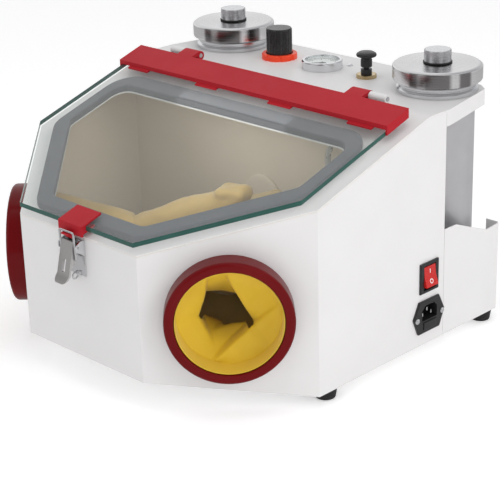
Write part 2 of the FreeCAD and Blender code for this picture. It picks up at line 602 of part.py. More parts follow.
# Lid: glass, red bar with end tabs and tongues, and the two knuckles
glass = upright(hexagon(-1, 1.2, 11.0, 256), 100, 300).common(slope_slab(glass_low, glass_high, -5, 280))
save("lid_glass", glass)
bar_half = 197.0
bar_front = 234.0
bar_rear = 267.0
bar_high = 19.0
bar_sheet = 2.0
bar_band = block(-bar_half, bar_half, bar_front, bar_rear, 100, 300)
bar = bar_band.common(slope_slab(bar_high - bar_sheet, bar_high, 200, 300))
lip = block(-bar_half, bar_half, bar_front, bar_front + bar_sheet, 100, 300)
bar = bar.fuse(lip.common(slope_slab(bar_high - 4.5, bar_high - 1, 200, 300)))
for side in (-1, 1):
    low = min(side * bar_half, side * (bar_half - bar_sheet))
    tab = block(low, low + bar_sheet, bar_front, bar_rear, 100, 300)
    bar = bar.fuse(tab.common(slope_slab(glass_low + 1, bar_high - 1, 200, 300)))
for x in (-163.5, -54.5, 54.5, 163.5):
    tongue = block(x - 16, x + 16, bar_front + 4, bar_front + 6, 100, 300)
    tongue = tongue.common(slope_slab(glass_high, bar_high - 1, 200, 300))
    sole = block(x - 16, x + 16, bar_front - 3, bar_front + 6, 100, 300)
    bar = bar.fuse(tongue).fuse(sole.common(slope_slab(glass_high, glass_high + 1.6, 200, 300)))
knuckle_radius = 5.0
for side in (-1, 1):
    low = min(side * (knuckle_x + 0.5), side * (knuckle_end - gap))
    length = knuckle_end - knuckle_x - gap - 0.5
    high_edge = window_z(bar_rear - 2) + bar_high
    strap = crosswise([(bar_rear - 3, high_edge - 2.3), (bar_rear - 3, high_edge - 0.4),
                       (hinge_y - 2, hinge_z + knuckle_radius), (hinge_y, hinge_z + knuckle_radius),
                       (hinge_y, hinge_z), (hinge_y - knuckle_radius, hinge_z)], low, low + length)
    knuckle = rod(knuckle_radius, V(low, hinge_y, hinge_z), length, X_AXIS).fuse(strap)
    bar = bar.fuse(knuckle.cut(rod(pin_radius + running, V(low - 1, hinge_y, hinge_z), length + 2, X_AXIS)))
save("lid_bar", bar.removeSplitter())

# Clip: a channel gripping the glass's front edge, with a shelf that the latch's bail pulls down
clip_half = 18.0
clip_front = -6.5
glass_clip = block(-clip_half, clip_half, clip_front, 19, 100, 300)
glass_clip = glass_clip.common(slope_slab(glass_high, glass_high + 2, -10, 30))
nose = block(-clip_half, clip_half, clip_front, clip_front + 2, 100, 300)
glass_clip = glass_clip.fuse(nose.common(slope_slab(4.2, glass_high + 2, -10, 30)))
filler = block(-clip_half, clip_half, clip_front, clip_front + 5.5, 100, 300)
glass_clip = glass_clip.fuse(filler.common(slope_slab(glass_low - 1.8, glass_high + 2, -10, 30)))
under_lip = block(-clip_half, clip_half, clip_front, 10, 100, 300)
glass_clip = glass_clip.fuse(under_lip.common(slope_slab(glass_low - 1.8, glass_low, -10, 30)))
hook_z = 160.0
hook_half = 5.5
hook_reach = 7.0
hook = block(-hook_half, hook_half, clip_front - hook_reach, clip_front + 0.5, hook_z - 2, hook_z)
hook = hook.fuse(block(-hook_half, hook_half, clip_front - 2, clip_front + 0.5, hook_z - 6, hook_z))
glass_clip = glass_clip.fuse(hook).removeSplitter()
save("lid_clip", glass_clip)

# Toggle latch: base with two ears, lever, and a wire bail
latch_pivot = V(0, -8.0, 146.0)
bail_pivot = V(0, -7.0, 133.0)
wire = 1.1                     # radius of the bail's wire
latch_pin = 1.2
ear_gap = 12.0
latch_base = block(-13.4, 13.4, -1.5, 0, 114, 152)
for side in (-1, 1):
    low = min(side * ear_gap, side * (ear_gap + 1.4))
    ear = crosswise([(-1, 136), (-1, 152), (-6, 152), (-12, 148), (-12, 142.5), (-9, 141)], low, low + 1.4)
    latch_base = latch_base.fuse(ear)
eye = Part.makeTorus(3.2, 0.9, V(0, -4.2, 112.6), X_AXIS)
latch_base = latch_base.fuse(eye).fuse(block(-0.9, 0.9, -3.0, -0.5, 114, 117))
latch_base = latch_base.fuse(rod(latch_pin, V(-ear_gap - 2.4, latch_pivot.y, latch_pivot.z),
                                 2 * ear_gap + 4.8, X_AXIS))
save("latch_base", latch_base.removeSplitter())

lever_half = 9.0
lever_profile = [(-1.2, 5), (1.0, 5), (1.0, -30), (-2.5, -36), (-4.2, -38.5), (-5.4, -37.6), (-3.8, -35),
                 (-1.2, -29)]
lever_tilt = 14.0
lever_curve = [(latch_pivot.y - 3 + y, latch_pivot.z + z) for y, z in lever_profile]
lever = crosswise(lever_curve, -lever_half, lever_half)
lever_outline = block(-lever_half, lever_half, -40, 10, latch_pivot.z - 38.5, latch_pivot.z + 8)
lever_outline = lever_outline.makeFillet(6.5, [e for e in lever_outline.Edges
                                               if e.BoundBox.ZMax < latch_pivot.z - 38
                                               and e.BoundBox.YLength > 10])
lever = lever.common(lever_outline)
for side in (-1, 1):
    low = min(side * lever_half, side * (lever_half - 1.3))
    cheek_curve = [(-3, 5), (2.6, 4), (3.4, -2), (3.4, -15), (1, -19), (-3, -22)]
    cheek = crosswise([(latch_pivot.y + y, latch_pivot.z + z) for y, z in cheek_curve], low, low + 1.3)
    lever = lever.fuse(cheek)
pivot_hole = latch_pin + running
lever = lever.cut(rod(pivot_hole, V(-20, latch_pivot.y, latch_pivot.z), 40, X_AXIS))
lever = lever.cut(block(-2, 2, latch_pivot.y - 10, latch_pivot.y, latch_pivot.z - 27, latch_pivot.z - 14))
lever = lever.cut(rod(wire + running, V(-20, bail_pivot.y, bail_pivot.z), 40, X_AXIS)).removeSplitter()
lever.rotate(latch_pivot, X_AXIS, -lever_tilt)
save("latch_lever", lever)
bail_foot = latch_pivot + FreeCAD.Rotation(X_AXIS, -lever_tilt).multVec(bail_pivot - latch_pivot)
bail_top = V(0, clip_front - 4.8, hook_z + wire + 0.4)
bail_half = 10.6
bail_end = 7.0
bail_path = [V(-bail_end, bail_foot.y, bail_foot.z), V(-bail_half, bail_foot.y, bail_foot.z),
             V(-bail_half, bail_top.y, bail_top.z), V(bail_half, bail_top.y, bail_top.z),
             V(bail_half, bail_foot.y, bail_foot.z), V(bail_end, bail_foot.y, bail_foot.z)]
bail_bend = 1.5
save("latch_bail", bent_tube(bail_path, wire, bail_bend))
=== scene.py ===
import math

import bmesh
import bpy
from mathutils import Matrix, Vector, noise


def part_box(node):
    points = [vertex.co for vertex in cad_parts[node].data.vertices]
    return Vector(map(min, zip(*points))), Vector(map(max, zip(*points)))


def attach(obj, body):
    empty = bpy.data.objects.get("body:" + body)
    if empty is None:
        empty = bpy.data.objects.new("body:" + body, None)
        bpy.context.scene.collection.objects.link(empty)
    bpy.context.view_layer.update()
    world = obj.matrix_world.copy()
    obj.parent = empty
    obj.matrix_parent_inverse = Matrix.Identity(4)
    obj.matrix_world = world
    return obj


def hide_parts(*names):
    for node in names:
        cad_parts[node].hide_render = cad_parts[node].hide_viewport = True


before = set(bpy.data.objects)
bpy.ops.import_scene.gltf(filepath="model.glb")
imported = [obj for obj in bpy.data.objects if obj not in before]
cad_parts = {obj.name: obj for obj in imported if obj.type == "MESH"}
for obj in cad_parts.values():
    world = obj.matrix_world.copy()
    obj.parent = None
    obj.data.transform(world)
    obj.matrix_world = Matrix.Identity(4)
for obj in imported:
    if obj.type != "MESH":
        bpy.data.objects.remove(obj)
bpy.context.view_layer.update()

# ------------------------------------------------------------------ studio
# A pale bench top in a bright room, with one large soft lamp to the right of the cabinet and weaker ones to
# its front and left, overhead and in the chamber. Polished metal picks up darker stretches of the walls.
mm = 0.001
full_turn = 2 * math.pi
camera_heading = 0.791
camera_dip = 0.381
camera_roll = -0.029
camera_place = (1.1233, -1.0719, 0.7109)

camera_data = bpy.data.cameras.new("camera")
camera_data.lens = 111.96
camera_data.clip_end = 50
camera = bpy.data.objects.new("camera", camera_data)
heading = Matrix.Rotation(camera_heading, 4, "Z")
tilt = Matrix.Rotation(math.pi / 2 - camera_dip, 4, "X")
roll = Matrix.Rotation(camera_roll, 4, "Z")
camera.matrix_world = Matrix.Translation(camera_place) @ heading @ tilt @ roll
bpy.context.scene.collection.objects.link(camera)
bpy.context.scene.camera = camera
bpy.context.scene.view_settings.view_transform = "Standard"


class Signal:
    """A shader socket that can stand in an expression with numbers and other sockets."""

    def __init__(self, nodes, socket):
        self.nodes = nodes
        self.socket = socket

    def maths(self, operation, first, second):
        return self.nodes.node("ShaderNodeMath", {0: first, 1: second}, operation=operation)

    def __add__(self, other):
        return self.maths("ADD", self, other)

    __radd__ = __add__

    def __sub__(self, other):
        return self.maths("SUBTRACT", self, other)

    def __rsub__(self, other):
        return self.maths("SUBTRACT", other, self)

    def __mul__(self, other):
        return self.maths("MULTIPLY", self, other)

    __rmul__ = __mul__

    def __truediv__(self, other):
        return self.maths("DIVIDE", self, other)

    def __pow__(self, other):
        return self.maths("POWER", self, other)

    def __gt__(self, other):
        return self.maths("GREATER_THAN", self, other)


class Nodes:
    """A node tree, and the one method that adds a node to it."""

    def __init__(self, tree):
        self.tree = tree

    def node(self, kind, inputs=(), output=0, stops=(), **settings):
        made = self.tree.nodes.new(kind)
        for setting, value in settings.items():
            setattr(made, setting, value)
        for number, (place, colour) in enumerate(stops):
            while len(made.color_ramp.elements) <= number:
                made.color_ramp.elements.new(place)
            made.color_ramp.elements[number].position = place
            made.color_ramp.elements[number].color = (*colour, 1)
        for key, value in dict(inputs).items():
            if isinstance(value, Signal):
                self.tree.links.new(value.socket, made.inputs[key])
            else:
                made.inputs[key].default_value = value
        return Signal(self, made.outputs[output])


class Finish(Nodes):
    """One material: a Principled shader with numbers or patterns on its sockets."""

    def __init__(self, name, **numbers):
        self.material = bpy.data.materials.new(name)
        self.material.use_nodes = True
        super().__init__(self.material.node_tree)
        self.place = self.node("ShaderNodeTexCoord", output="Object")
        self.shader = self.tree.nodes["Principled BSDF"]
        self.set(**numbers)

    def set(self, **sockets):
        """Sets or links the shader's sockets, named as coat_weight for Coat Weight."""
        for name, value in sockets.items():
            socket = self.shader.inputs[name.replace("_", " ").title().replace("Ior", "IOR")]
            if isinstance(value, Signal):
                self.tree.links.new(value.socket, socket)
            else:
                is_colour = isinstance(value, tuple) and len(value) == 3
                socket.default_value = (*value, 1) if is_colour else value

    def noise(self, scale, detail=2.0, place=None):
        where = place or self.place
        return self.node("ShaderNodeTexNoise", {"Vector": where, "Scale": scale, "Detail": detail})

    def stretched(self, x, y, z):
        return self.node("ShaderNodeMapping", {"Vector": self.place, "Scale": (x, y, z)})

    def mix(self, share, first, second):
        first, second = [(*c, 1) if isinstance(c, tuple) else c for c in (first, second)]
        return self.node("ShaderNodeMix", {0: share, 6: first, 7: second}, output=2, data_type="RGBA")

    def bump(self, height, distance, strength=1.0):
        return self.node("ShaderNodeBump", {"Height": height, "Distance": distance, "Strength": strength})


room = bpy.data.worlds.new("room")
bpy.context.scene.world = room
room.use_nodes = True
walls = Nodes(room.node_tree)
direction = walls.node("ShaderNodeTexCoord", output="Generated")
split = walls.node("ShaderNodeSeparateXYZ", {0: direction})
across = Signal(walls, split.socket.node.outputs["Y"])
azimuth = split.maths("ARCTAN2", across, split) / full_turn + 0.5
banding = walls.node("ShaderNodeValToRGB", {0: azimuth}, stops=[
    (0.0, (0.80, 0.80, 0.80)), (0.10, (0.16, 0.15, 0.15)), (0.20, (0.95, 0.95, 0.95)),
    (0.31, (0.12, 0.10, 0.10)), (0.375, (0.20, 0.17, 0.17)), (0.43, (1.0, 1.0, 1.0)),
    (0.50, (0.10, 0.09, 0.09)), (0.56, (0.9, 0.9, 0.9)), (0.72, (0.45, 0.45, 0.46)),
    (0.85, (0.95, 0.95, 0.95))])
rays = walls.node("ShaderNodeLightPath", output="Is Glossy Ray")
ambient = (0.64, 0.64, 0.645, 1)
backdrop = walls.node("ShaderNodeMix", {0: rays, 6: ambient, 7: banding}, output=2, data_type="RGBA")
room.node_tree.links.new(backdrop.socket, room.node_tree.nodes["Background"].inputs["Color"])


def add_lamp(name, place, target, width, watts):
    data = bpy.data.lights.new(name, "AREA")
    data.size = width
    data.energy = watts
    lamp = bpy.data.objects.new(name, data)
    lamp.location = place
    lamp.visible_camera = lamp.visible_glossy = False
    lamp.rotation_euler = (Vector(target) - Vector(place)).to_track_quat("-Z", "Y").to_euler()
    bpy.context.scene.collection.objects.link(lamp)


add_lamp("right_lamp", (1.7, 0.1, 1.1), (0.1, 0, 0.1), 0.9, 7.5)
add_lamp("front_lamp", (1.45, -1.35, 0.8), (0.1, -0.1, 0.1), 0.8, 2.6)
add_lamp("overhead_lamp", (0.3, -0.3, 2.0), (0, 0, 0.1), 1.2, 6)
add_lamp("left_lamp", (-1.4, -1.5, 1.3), (0, 0, 0.15), 1.0, 1.8)
add_lamp("chamber_lamp", (0.0, -0.03, 0.2), (0, 0.045, 0.12), 0.16, 0.05)

bench = bmesh.new()
bmesh.ops.create_grid(bench, x_segments=1, y_segments=1, size=12)
bench_mesh = bpy.data.meshes.new("bench_top")
bench.to_mesh(bench_mesh)
bench.free()
bench_top = bpy.data.objects.new("bench_top", bench_mesh)
bpy.context.scene.collection.objects.link(bench_top)
laminate = Finish("pale_laminate", roughness=0.6, specular_ior_level=0.2, emission_color=(1, 1, 1))
mirrored_rays = laminate.node("ShaderNodeLightPath", output="Is Glossy Ray")
laminate.set(base_color=laminate.mix(mirrored_rays, (0.93, 0.93, 0.93), (0.42, 0.41, 0.41)),
             emission_strength=0.29 - mirrored_rays * 0.15)
bench_mesh.materials.append(laminate.material)

# ------------------------------------------------------------------ casing
# Folded 1.5 mm steel sheet, welded at the corners and powder coated white outside. The chamber inside
# carries a matt beige coat under a film of abrasive dust. Every cut edge is slightly rounded by the coat.
half_width = 206 * mm
front_half_width = 88.5 * mm
front_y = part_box("front_shell")[0].y
corner_depth = 124 * mm
window_rise = 0.315
slope = math.atan(window_rise)
sheet_edge = 0.45 * mm
merge_distance = 0.002 * mm
flat_angle = math.radians(0.4)
sharp_angle = math.radians(38)
window_normal = Vector((0, -math.sin(slope), math.cos(slope)))


def copy_of(node):
    """A node's shape with its doubles merged and each flat face whole."""
    shape = bmesh.new()
    shape.from_mesh(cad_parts[node].data)
    bmesh.ops.remove_doubles(shape, verts=shape.verts, dist=merge_distance)
    bmesh.ops.dissolve_limit(shape, angle_limit=flat_angle, verts=shape.verts, edges=shape.edges)
    return shape


def ease(shape, width, angle=28, segments=2):
    """Rounds every edge that is sharper than an angle."""
    sharp = [e for e in shape.edges if e.is_manifold and e.calc_face_angle(0) > math.radians(angle)]
    bmesh.ops.bevel(shape, geom=sharp, offset=width, offset_type="OFFSET", affect="EDGES",
                    segments=segments, profile=0.5, material=-1, clamp_overlap=True)
    return shape


def add_piece(name, shape, finishes, body, slot, *replaced, even=True):
    """Puts a shape in the scene, with its finishes, its body and the nodes it stands for; its slot is not
    used.
    """
    mesh = bpy.data.meshes.new(name)
    shape.to_mesh(mesh)
    shape.free()
    mesh.shade_smooth()
    mesh.set_sharp_from_angle(angle=sharp_angle)
    for finish in finishes:
        mesh.materials.append(finish.material)
    piece = bpy.data.objects.new(name, mesh)
    bpy.context.scene.collection.objects.link(piece)
    if even:
        piece.modifiers.new("even_normals", "WEIGHTED_NORMAL").keep_sharp = True
    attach(piece, body)
    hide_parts(*replaced)
    return piece


def powder_coat(name, colour, shade, roughness, peel=0.05 * mm, level=0.35):
    """Baked powder: a fine orange peel, faint mottling and slightly uneven gloss."""
    coat = Finish(name, specular_ior_level=level)
    mottling = coat.noise(16, 3)
    grain = coat.noise(1100, 1)
    coat.set(base_color=coat.mix(mottling, colour, shade),
             roughness=coat.noise(40, 2) * 0.14 + roughness - 0.07,
             normal=coat.bump(grain, peel, 0.5))
    return coat


white_coat = powder_coat("white_powder_coat", (0.80, 0.79, 0.79), (0.74, 0.73, 0.725), 0.42)
chamber_coat = Finish("dusty_chamber_coat", specular_ior_level=0.2)
dust = chamber_coat.noise(9, 5) * 0.7 + chamber_coat.noise(420, 2) * 0.3
chamber_coat.set(base_color=chamber_coat.mix(dust, (0.70, 0.60, 0.47), (0.82, 0.73, 0.60)), roughness=0.85,
                 normal=chamber_coat.bump(chamber_coat.noise(700, 3), 0.12 * mm, 0.6))


def inside_of(face):
    """Whether a wall's face looks at the chamber."""
    middle = face.calc_center_median()
    to_axis = Vector((0, 0, middle.z)) - middle
    return face.normal.dot(to_axis) > 0.05


sheets = {"front_shell": ("casing_walls", inside_of),
          "window_frame": ("window_surround", lambda face: face.normal.z < -0.3),
          "deck": ("top_deck", None), "bay_walls": ("bay_walls_sheet", None),
          "floor_pan": ("floor_sheet", lambda face: face.normal.z > 0.3),
          "chamber_wall": ("chamber_rear_sheet", lambda face: face.normal.y < -0.3),
          "rear_panel": ("rear_cover", None), "tank_bracket_left": ("left_tank_bracket", None),
          "tank_bracket_right": ("right_tank_bracket", None)}
for node, (name, inner) in sheets.items():
    shape = ease(copy_of(node), sheet_edge)
    if inner:
        for face in shape.faces:
            face.material_index = int(inner(face))
    add_piece(name, shape, [white_coat, chamber_coat], "cabinet", "white_coat", node)

# ------------------------------------------------------------------ window gasket
# A strip of grey closed-cell foam stuck round the window opening, pressed flat by the glass. Its skin is
# matt, with open cells along the cut edges.
foam = Finish("grey_foam", specular_ior_level=0.25, sheen_weight=0.2)
cells = foam.noise(1500, 2)
foam.set(base_color=foam.mix(foam.noise(30, 3), (0.105, 0.106, 0.122), (0.150, 0.150, 0.165)),
         roughness=0.88, normal=foam.bump(cells, 0.25 * mm, 0.7))
add_piece("foam_gasket", ease(copy_of("window_gasket"), 1.6 * mm, 40, 4), [foam], "cabinet", "foam",
          "window_gasket")

# ------------------------------------------------------------------ chamber fittings
# A loose perforated tray, a lamp with its diffuser, the lamp's power supply behind the rear wall, and the
# two blast pens in their spring clips with the clear hoses that feed them.
galvanised = Finish("galvanised_tray", metallic=0.9)
spangle = galvanised.node("ShaderNodeTexVoronoi", {"Vector": galvanised.place, "Scale": 160})
galvanised.set(base_color=galvanised.mix(spangle, (0.42, 0.40, 0.36), (0.55, 0.52, 0.46)),
               roughness=galvanised.noise(60) * 0.3 + 0.35)
add_piece("perforated_tray", ease(copy_of("floor_tray"), 0.3 * mm), [galvanised], "floor_tray",
          "galvanised", "floor_tray")


def moulding(name, colour, roughness=0.35, grain=0.03 * mm):
    """Moulded plastic or rubber with a fine spark-eroded grain."""
    finish = Finish(name)
    lighter = tuple(min(1, c * 1.25 + 0.004) for c in colour)
    finish.set(base_color=finish.mix(finish.noise(70, 3), colour, lighter),
               roughness=finish.noise(120, 2) * 0.16 + roughness - 0.08,
               normal=finish.bump(finish.noise(1800, 2), grain, 0.5))
    return finish


def metal(name, colour, roughness, lines=(1, 1, 1), line_scale=600, depth=0.01 * mm, **numbers):
    """Bare metal with fine lines left by drawing, grinding or turning."""
    finish = Finish(name, metallic=1.0, **numbers)
    streaks = finish.noise(line_scale, 2, finish.stretched(*lines))
    smudges = finish.noise(45, 3)
    darker = tuple(c * 0.86 for c in colour)
    finish.set(base_color=finish.mix(smudges, darker, colour),
               roughness=streaks * 0.10 + smudges * 0.06 + roughness - 0.08,
               normal=finish.bump(streaks, depth, 0.5))
    return finish


white_moulding = moulding("white_moulding", (0.78, 0.77, 0.74))
black_moulding = moulding("black_moulding", (0.012, 0.012, 0.013))
polished = metal("polished_chrome", (0.80, 0.81, 0.83), 0.14)
ground_steel = metal("ground_steel", (0.56, 0.56, 0.57), 0.30)
lens = Finish("frosted_lens", base_color=(0.95, 0.95, 0.92), roughness=0.55, transmission_weight=0.6)
lens.set(normal=lens.bump(lens.noise(900), 0.05 * mm, 0.4))
tube_wall = Finish("clear_hose", base_color=(0.80, 0.84, 0.86), transmission_weight=0.5)
tube_wall.set(roughness=tube_wall.noise(200) * 0.2 + 0.2)
add_piece("lamp_tray", ease(copy_of("lamp_housing"), 0.6 * mm), [white_moulding], "cabinet",
          "white_plastic", "lamp_housing")
add_piece("lamp_diffuser", ease(copy_of("lamp_lens"), 0.5 * mm), [lens], "cabinet", "lens_glass",
          "lamp_lens")
add_piece("power_supply_box", ease(copy_of("power_supply"), 1.2 * mm, 28, 3), [black_moulding], "cabinet",
          "black_plastic", "power_supply")
add_piece("pen_barrels", ease(copy_of("blast_pens"), 0.25 * mm), [polished], "cabinet", "chrome",
          "blast_pens")
add_piece("pen_spring_clips", ease(copy_of("pen_clips"), 0.2 * mm), [ground_steel], "cabinet", "steel",
          "pen_clips")
add_piece("abrasive_hoses", copy_of("pen_hoses"), [tube_wall], "cabinet", "hose", "pen_hoses")

# ------------------------------------------------------------------ arm rings
# A thick collar of dark red enamelled aluminium on each angled face. It was turned with a broad rounded
# lip, and its spigot goes through the wall to carry the sleeve.
ring_face_angle = math.atan2(corner_depth, half_width - front_half_width)
ring_along = math.hypot(corner_depth, half_width - front_half_width) / 2
ring_height = 103 * mm
ring_bore = 53 * mm
seam_distance = 0.001 * mm


def out_of_face(side):
    return Vector((side * math.sin(ring_face_angle), -math.cos(ring_face_angle), 0))


def ring_centre(side):
    x = front_half_width + ring_along * math.cos(ring_face_angle)
    return Vector((side * x, front_y + ring_along * math.sin(ring_face_angle), ring_height))


def spun(profile, centre, axis=Vector((0, 0, 1)), steps=96, closed=True):
    """A shape turned on a lathe, from a profile of (radius, height) points in millimetres."""
    shape = bmesh.new()
    corners = [shape.verts.new((radius * mm, 0, height * mm)) for radius, height in profile]
    pairs = list(zip(corners, corners[1:])) + ([(corners[-1], corners[0])] if closed else [])
    edges = [shape.edges.new(pair) for pair in pairs]
    bmesh.ops.spin(shape, geom=corners + edges, cent=(0, 0, 0), axis=(0, 0, 1), angle=full_turn,
                   steps=steps, use_merge=True)
    bmesh.ops.remove_doubles(shape, verts=shape.verts, dist=seam_distance)
    bmesh.ops.recalc_face_normals(shape, faces=shape.faces)
    upright = Matrix.Translation(centre) @ axis.to_track_quat("Z", "Y").to_matrix().to_4x4()
    bmesh.ops.transform(shape, matrix=upright, verts=shape.verts)
    return shape


enamel = Finish("dark_red_enamel", coat_weight=0.22, coat_roughness=0.05, specular_ior_level=0.06)
enamel.set(base_color=enamel.mix(enamel.noise(20, 3), (0.115, 0.002, 0.003), (0.160, 0.004, 0.006)),
           roughness=enamel.noise(60) * 0.12 + 0.26,
           normal=enamel.bump(enamel.noise(500, 1), 0.03 * mm, 0.4))
ring_profile = [(53.0, 22.0), (53.6, 22.8), (54.6, 23.0), (59.2, 23.0), (61.2, 22.3), (62.3, 21.0),
                (62.7, 19.2), (62.7, 0.6), (62.2, 0.05), (56.3, 0.05), (56.3, -16), (53, -16)]
for side, name in ((-1, "left"), (1, "right")):
    ring = ease(spun(ring_profile, ring_centre(side), out_of_face(side), 128), 0.3 * mm, 40)
    add_piece("enamelled_ring_" + name, ring, [enamel], "cabinet", "ring_red", "arm_ring_" + name)
add_piece("band_clamps", ease(copy_of("sleeve_bands"), 0.15 * mm), [ground_steel], "cabinet", "steel",
          "sleeve_bands")

# ------------------------------------------------------------------ gloves
# Long gloves dipped in yellow rubber. Each sleeve is stretched over its ring's spigot and sags inwards in a
# few broad flaps, which overlap round a dark five-sided hole. The slack hand hangs inside the chamber.
rubber = Finish("yellow_rubber", sheen_weight=0.2, specular_ior_level=0.35)
stain = rubber.noise(26, 4)
unshaded_rubber = rubber.mix(stain, (0.68, 0.44, 0.018), (0.83, 0.60, 0.05))
# Painted shade: the deeper a fold of the sleeve lies, the more its rubber is darkened towards dark brown.
painted_fold_shade = rubber.node("ShaderNodeAttribute", output="Fac", attribute_name="painted_fold_shade")
rubber.set(base_color=rubber.mix(painted_fold_shade, unshaded_rubber, (0.13, 0.035, 0.001)),
           roughness=rubber.noise(90) * 0.16 + 0.42,
           normal=rubber.bump(rubber.noise(320, 4) * 0.7 + rubber.noise(60, 2) * 0.3, 0.35 * mm, 0.5))
dusty_rubber = Finish("dusty_rubber", sheen_weight=0.3, specular_ior_level=0.25)
dust_patches = dusty_rubber.noise(30, 4)
dusty_rubber.set(base_color=dusty_rubber.mix(dust_patches, (0.40, 0.26, 0.075), (0.50, 0.35, 0.13)),
                 roughness=dusty_rubber.noise(90) * 0.16 + 0.62,
                 normal=dusty_rubber.bump(dusty_rubber.noise(240, 4), 0.4 * mm, 0.6))
sleeve_radius = ring_bore - 0.6 * mm
sleeve_reach = 20.5
wall_end = -4.0
wall_steps = 6
disc_steps = 90
flap_reach = 0.995
open_hole = -60.0
hole_floor = -74.0
fold_roll = 0.035
roll_depth = 3.2
wave_scale = 2.1
wave_height = 3.2
# Where the painted shade in the sleeve's folds starts, how fast it deepens and how dark it gets.
painted_shade_start = -19
painted_shade_range = 26
deepest_painted_shade = 0.85
rubber_thickness = 0.8 * mm

# The free edge of each flap, as (across, up, depth in mm) with the ring's bore as 1. The flap lies to the
# left of its edge, looking along it.
flaps = {"left": [(-0.24, -0.80, -19), (-0.56, -0.17, -22), (-0.43, 0.26, -18), (-0.33, 0.97, -5)],
         "right": [(-0.10, 0.98, -6), (0.03, 0.53, -13), (0.45, -0.34, -24)],
         "front": [(0.97, 0.24, -2), (0.45, -0.34, -15), (-0.36, -0.94, 0)],
         "top": [(-0.9, 0.25, -33), (-0.1, 0.21, -35), (0.5, 0.08, -33)],
         "bottom": [(0.75, -0.34, -30), (-0.3, -0.50, -30), (-0.9, -0.46, -30)],
         "rear": [(0.5, -0.80, -40), (0.0, -0.53, -39), (-1.1, 0.06, -40)]}


def flap_height(place, edge):
    """The height of a flap over one point, or nothing where the flap doesn't reach."""
    nearest = None
    for start, end in zip(edge, edge[1:]):
        run = Vector(end[:2]) - Vector(start[:2])
        offset = place - Vector(start[:2])
        share = max(0, min(1, offset.dot(run) / run.length_squared))
        gap = (offset - run * share).length
        if nearest is None or gap < nearest[0]:
            inside = run.x * offset.y - run.y * offset.x > 0
            nearest = (gap, inside, start[2] + (end[2] - start[2]) * share)
    gap, inside, edge_height = nearest
    if not inside:
        return None
    to_rim = max(0.001, 1 - place.length)
    lift = gap / (gap + to_rim)
    rolled = max(0, 1 - gap / fold_roll)
    return edge_height + (wall_end - edge_height) * lift - roll_depth * rolled ** 2


def soften(shape, verts, passes):
    for _ in range(passes):
        bmesh.ops.smooth_vert(shape, verts=verts, factor=0.5, use_axis_x=True, use_axis_y=True,
                              use_axis_z=True)


def sagging_sleeve():
    """The sleeve's mouth: a short straight wall, then the flaps, modelled as one sheet."""
    wall_step = (sleeve_reach - wall_end) / wall_steps
    wall = [(1, sleeve_reach - number * wall_step) for number in range(wall_steps + 1)]
    disc = [(1 - number / disc_steps, wall_end) for number in range(1, disc_steps + 1)]
    profile = [(radius * sleeve_radius / mm, height) for radius, height in wall + disc]
    shape = spun(profile, Vector((0, 0, 0)), steps=200, closed=False)
    # Each vertex keeps the amount of painted shade for its depth in the folds.
    depth = shape.verts.layers.float.new("painted_fold_shade")
    for vertex in shape.verts:
        place = Vector(vertex.co[:2]) / sleeve_radius
        if place.length > flap_reach:
            continue
        heights = [flap_height(place, edge) for edge in flaps.values()]
        height = max([h for h in heights if h is not None], default=hole_floor)
        waves = noise.noise(Vector((place.x * wave_scale, place.y * wave_scale, 0.3))) * wave_height
        height += waves * min(1, (1 - place.length) * 4)
        vertex.co.z = height * mm
        vertex[depth] = max(0, min(deepest_painted_shade, (painted_shade_start - height) / painted_shade_range))
    hole = [f for f in shape.faces if min(v.co.z for v in f.verts) < open_hole * mm]
    bmesh.ops.delete(shape, geom=hole, context="FACES")
    soften(shape, [v for v in shape.verts if v.co.z < 1 * mm], 2)
    return shape


def placed(side):
    """Where a sleeve's own axes go: z out of the ring, mirrored for the left hand."""
    turn = out_of_face(side).to_track_quat("Z", "Y").to_matrix().to_4x4()
    return Matrix.Translation(ring_centre(side)) @ turn @ Matrix.Diagonal((side, 1, 1, 1))


bag = [(52.6, -16.4), (52.4, -24), (49.5, -42), (44.6, -58), (39.4, -76), (34.6, -92), (30, -104),
       (24, -111.6), (14, -114.6), (0, -115.4), (0, -113.6), (14, -112.8), (22.8, -109.8), (28.4, -102.6),
       (32.8, -91), (37.6, -75), (42.8, -58), (47.9, -42), (50.8, -24), (51.0, -16.4)]
bag_crease = 2.4 * mm
for side, name in ((-1, "left"), (1, "right")):
    sleeve = sagging_sleeve()
    bmesh.ops.transform(sleeve, matrix=placed(side), verts=sleeve.verts)
    bmesh.ops.recalc_face_normals(sleeve, faces=sleeve.faces)
    bmesh.ops.solidify(sleeve, geom=sleeve.faces, thickness=rubber_thickness)
    add_piece("rubber_sleeve_" + name, sleeve, [rubber], "cabinet", "glove_rubber", "glove_" + name,
              even=False)
    shell = spun(bag, ring_centre(side), out_of_face(side), 96)
    for vertex in shell.verts:
        crease = noise.noise(Vector(vertex.co) * 40)
        to_ring = ring_centre(side) - vertex.co
        inward = min(1, max(0, to_ring.dot(out_of_face(side)) / mm - 16) / 30)
        vertex.co += to_ring.normalized() * (crease + 0.6) * inward * bag_crease
    add_piece("glove_bag_" + name, shell, [dusty_rubber], "cabinet", "glove_rubber", "glove_" + name,
              even=False)


# The hand is dipped in one piece with the sleeve: a wrist, a palm, and fingers curled against it.
def add_roll(shape, start, end, first_radius, last_radius):
    """A tapered roll with round ends between two points."""
    turn = (end - start).to_track_quat("Z", "Y").to_matrix().to_4x4()
    middle = Matrix.Translation((start + end) / 2) @ turn
    bmesh.ops.create_cone(shape, segments=24, radius1=first_radius, radius2=last_radius,
                          depth=(end - start).length, cap_ends=True, matrix=middle)
    for centre, radius in ((start, first_radius), (end, last_radius)):
        bmesh.ops.create_icosphere(shape, subdivisions=3, radius=radius, matrix=Matrix.Translation(centre))


